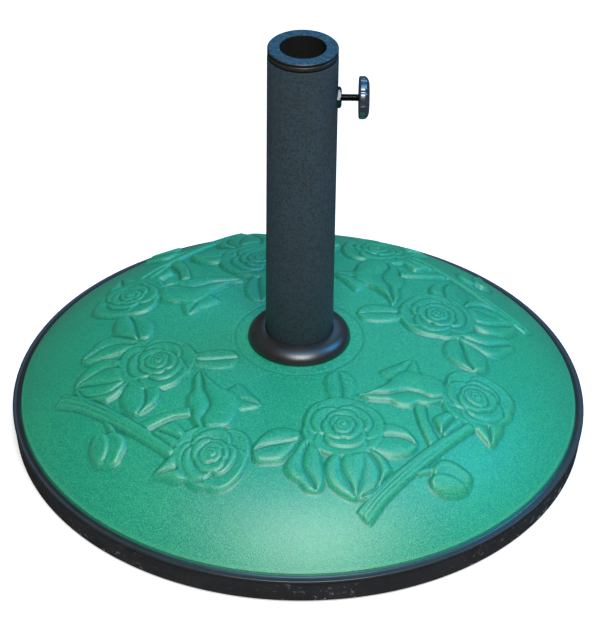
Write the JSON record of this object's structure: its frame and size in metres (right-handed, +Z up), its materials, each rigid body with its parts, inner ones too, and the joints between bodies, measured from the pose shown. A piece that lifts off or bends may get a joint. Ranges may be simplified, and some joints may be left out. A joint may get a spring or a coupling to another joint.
{
  "type": "patio umbrella base",
  "caption": "Weighted patio umbrella base: round domed cover on a slab in a black tray, upright pole tube with a thumbscrew, and nested plug-in reducers in its mouth.",
  "frame": {"origin": "on the ground under the tube's axis, at the centre of the feet's underside", "axes": "+Z up along the tube; +X from the tube's axis towards the thumbscrew's knob"},
  "size_m": [0.5, 0.5, 0.3723],
  "materials": {
    "green_paint": "satin powder coat, fine grain",
    "tray_plastic": "coarse matte",
    "gloss_trim": "gloss",
    "concrete": "rough cast",
    "slate_paint": "matte powder coat",
    "zinc_steel": "zinc plated",
    "dark_steel": "painted with the tube",
    "insert_brass": "plain",
    "black_plastic": "matte",
    "blue_plastic": "satin moulded",
    "knob_plastic": "satin moulded",
    "foot_rubber": "matte"
  },
  "bodies": {
    "root": {"base_tray": "tray_plastic", "foot_1": "foot_rubber", "foot_2": "foot_rubber", "foot_3": "foot_rubber", "foot_4": "foot_rubber", "foot_5": "foot_rubber", "foot_6": "foot_rubber", "rim_band": "gloss_trim", "top_cover": "green_paint", "ballast_slab": "concrete", "tube_flange": "slate_paint", "flange_washer_1": "zinc_steel", "flange_washer_2": "zinc_steel", "flange_washer_3": "zinc_steel", "flange_washer_4": "zinc_steel", "flange_bolt_1": "zinc_steel", "flange_bolt_2": "zinc_steel", "flange_bolt_3": "zinc_steel", "flange_bolt_4": "zinc_steel", "slab_insert_1": "insert_brass", "slab_insert_2": "insert_brass", "slab_insert_3": "insert_brass", "slab_insert_4": "insert_brass", "pole_tube": "slate_paint", "pole_seat": "black_plastic", "boss_nut": "dark_steel"},
    "trim_ring": {"trim_ring": "gloss_trim"},
    "outer_reducer": {"outer_reducer": "blue_plastic"},
    "inner_reducer": {"inner_reducer": "blue_plastic"},
    "pressure_pad": {"pressure_pad": "black_plastic"},
    "thumbscrew": {"screw_stud": "dark_steel", "knob": "knob_plastic", "knob_cap": "knob_plastic"}
  },
  "joints": [
    {"name": "trim_ring_lift", "type": "slide", "parent": "root", "child": "trim_ring", "axis": [0, 0, 1], "range_m": [0, 0.21]},
    {"name": "outer_reducer_lift", "type": "slide", "parent": "root", "child": "outer_reducer", "axis": [0, 0, 1], "range_m": [0, 0.036]},
    {"name": "inner_reducer_lift", "type": "slide", "parent": "outer_reducer", "child": "inner_reducer", "axis": [0, 0, 1], "range_m": [0, 0.04]},
    {"name": "screw_travel", "type": "slide", "parent": "root", "child": "pressure_pad", "axis": [-1, 0, 0], "range_m": [0, 0.0128]},
    {"name": "screw_turn", "type": "hinge", "parent": "pressure_pad", "child": "thumbscrew", "pos_m": [0.048, 0, 0.3257], "axis": [-1, 0, 0], "range_deg": [0, 3600]}
  ],
  "couplings": [
    {"joint": "screw_travel", "follows": "screw_turn", "m_per_rad": 0.00020213}
  ]
}
